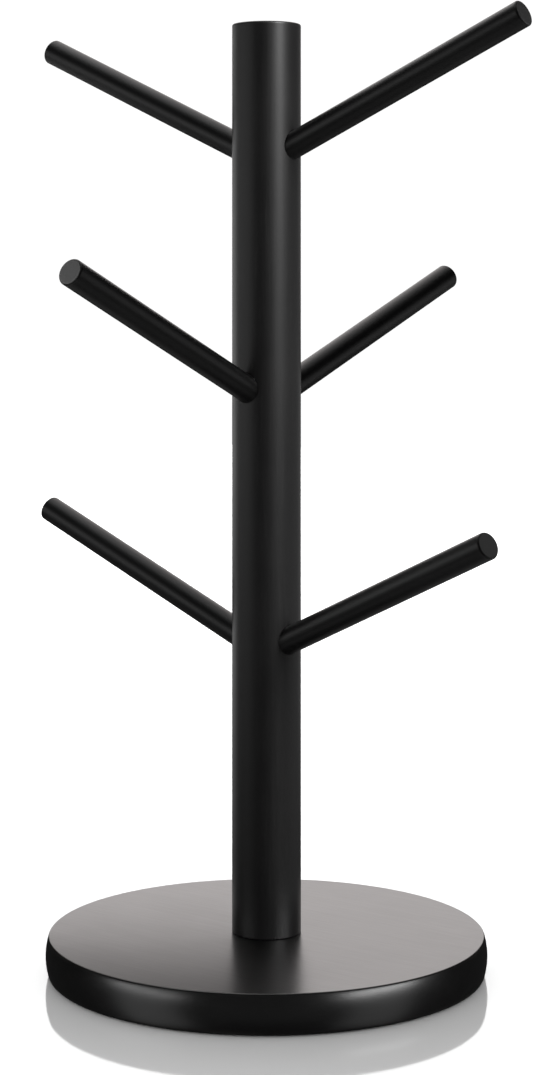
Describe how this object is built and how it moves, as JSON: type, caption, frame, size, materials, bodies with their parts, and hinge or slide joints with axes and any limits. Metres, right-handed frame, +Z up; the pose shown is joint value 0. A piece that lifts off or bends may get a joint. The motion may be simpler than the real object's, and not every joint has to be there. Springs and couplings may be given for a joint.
{
  "type": "mug tree",
  "caption": "Worktop mug tree: a round post on a disc base with tiers of straight arms that cross each other and slope up and out to hold mugs by the handle.",
  "frame": {"origin": "on the surface the mug tree stands on, below the post's axis", "axes": "+Z up along the post; +X to the right, the side of the upper and lower right arms; -Y to the front, the side of the middle front arm"},
  "size_m": [0.2253, 0.2252, 0.3581],
  "materials": {
    "painted_wood": "satin black lacquer over turned hardwood",
    "pad_rubber": "matt anti-slip pad",
    "fastener_steel": "bright zinc plate",
    "insert_brass": "machined"
  },
  "bodies": {
    "root": {"arm_lower_left": "painted_wood", "arm_lower_right": "painted_wood", "arm_middle_back": "painted_wood", "arm_middle_front": "painted_wood", "arm_upper_left": "painted_wood", "arm_upper_right": "painted_wood", "base_bolt": "fastener_steel", "base_disc": "painted_wood", "foot_pad_1": "pad_rubber", "foot_pad_2": "pad_rubber", "foot_pad_3": "pad_rubber", "foot_pad_4": "pad_rubber", "post": "painted_wood", "threaded_insert": "insert_brass", "washer": "fastener_steel"}
  },
  "joints": []
}
